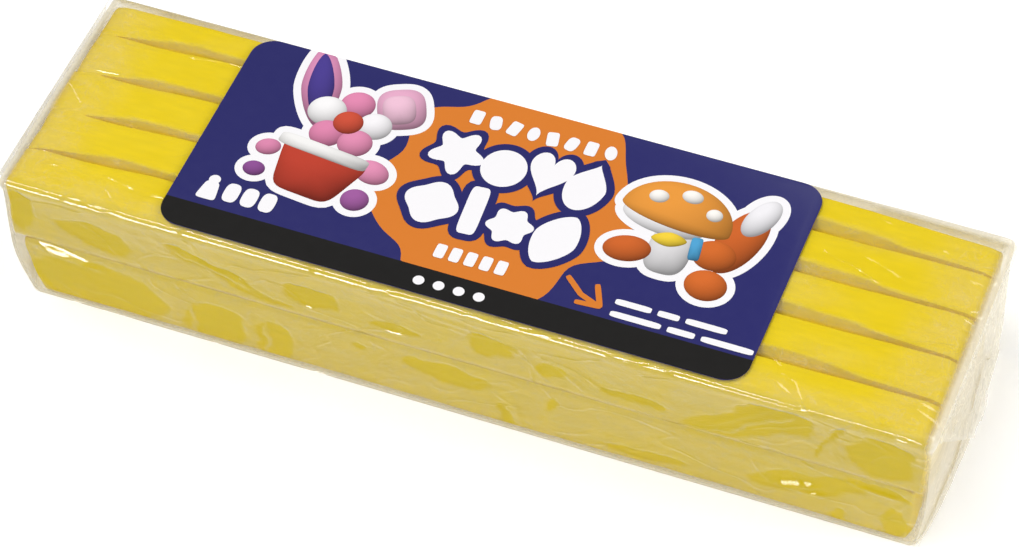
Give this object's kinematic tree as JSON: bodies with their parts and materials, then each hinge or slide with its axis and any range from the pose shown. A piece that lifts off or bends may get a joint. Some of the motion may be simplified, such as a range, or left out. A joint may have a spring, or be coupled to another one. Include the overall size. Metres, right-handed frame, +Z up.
{
  "type": "wrapped modelling clay block",
  "caption": "Flat block of soft yellow modelling clay sticks, wrapped in clear film with folded ends that peel open and a printed label on top.",
  "frame": {"origin": "centre of the base, on the surface that the pack rests on", "axes": "+X along the pack, +Y to its back and +Z up through the label"},
  "size_m": [0.1962, 0.0564, 0.0333],
  "materials": {
    "clay": "satin",
    "clear_film": "gloss",
    "label_film": "satin"
  },
  "bodies": {
    "pack": {"film_wrap": "clear_film", "label": "label_film", "lower_stick_1": "clay", "lower_stick_2": "clay", "lower_stick_3": "clay", "lower_stick_4": "clay", "lower_stick_5": "clay", "upper_stick_1": "clay", "upper_stick_2": "clay", "upper_stick_3": "clay", "upper_stick_4": "clay", "upper_stick_5": "clay"},
    "left_flap": {"film_flap_left": "clear_film"},
    "right_flap": {"film_flap_right": "clear_film"}
  },
  "joints": [
    {"name": "left_flap_peel", "type": "hinge", "parent": "pack", "child": "left_flap", "pos_m": [-0.09795, 0, 0.0332], "axis": [0, 1, 0], "range_deg": [0, 150]},
    {"name": "right_flap_peel", "type": "hinge", "parent": "pack", "child": "right_flap", "pos_m": [0.09795, 0, 0.0332], "axis": [0, -1, 0], "range_deg": [0, 150]}
  ]
}
